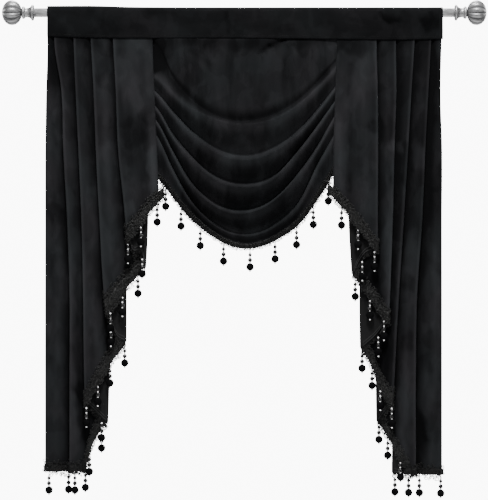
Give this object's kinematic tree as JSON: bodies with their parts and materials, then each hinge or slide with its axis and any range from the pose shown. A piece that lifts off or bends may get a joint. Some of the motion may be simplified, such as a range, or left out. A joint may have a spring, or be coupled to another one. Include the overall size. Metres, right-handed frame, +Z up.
{
  "type": "window valance on a curtain rod",
  "caption": "Black velvet window valance on a metal curtain rod: a gathered header, a swag in the middle, a pleated cascade tail at each side, and beaded braid along the lower edges.",
  "frame": {"origin": "the middle of the curtain rod's axis", "axes": "+X along the rod to the right as seen from the room, -Y towards the room, +Z up"},
  "size_m": [1.3572, 0.0737, 1.3858],
  "materials": {
    "velvet": "black velvet with a soft uneven sheen",
    "braid": "black looped braid with black and clear bead drops",
    "pewter": "brushed pewter, darker in the grooves"
  },
  "bodies": {
    "root": {"rod": "pewter", "finial_collar_left": "pewter", "finial_collar_right": "pewter", "finial_melon_left": "pewter", "finial_melon_right": "pewter", "header_band": "velvet", "swag_panel": "velvet", "swag_trim": "braid", "tail_left": "velvet", "tail_right": "velvet", "tail_trim_left": "braid", "tail_trim_right": "braid"}
  },
  "joints": []
}
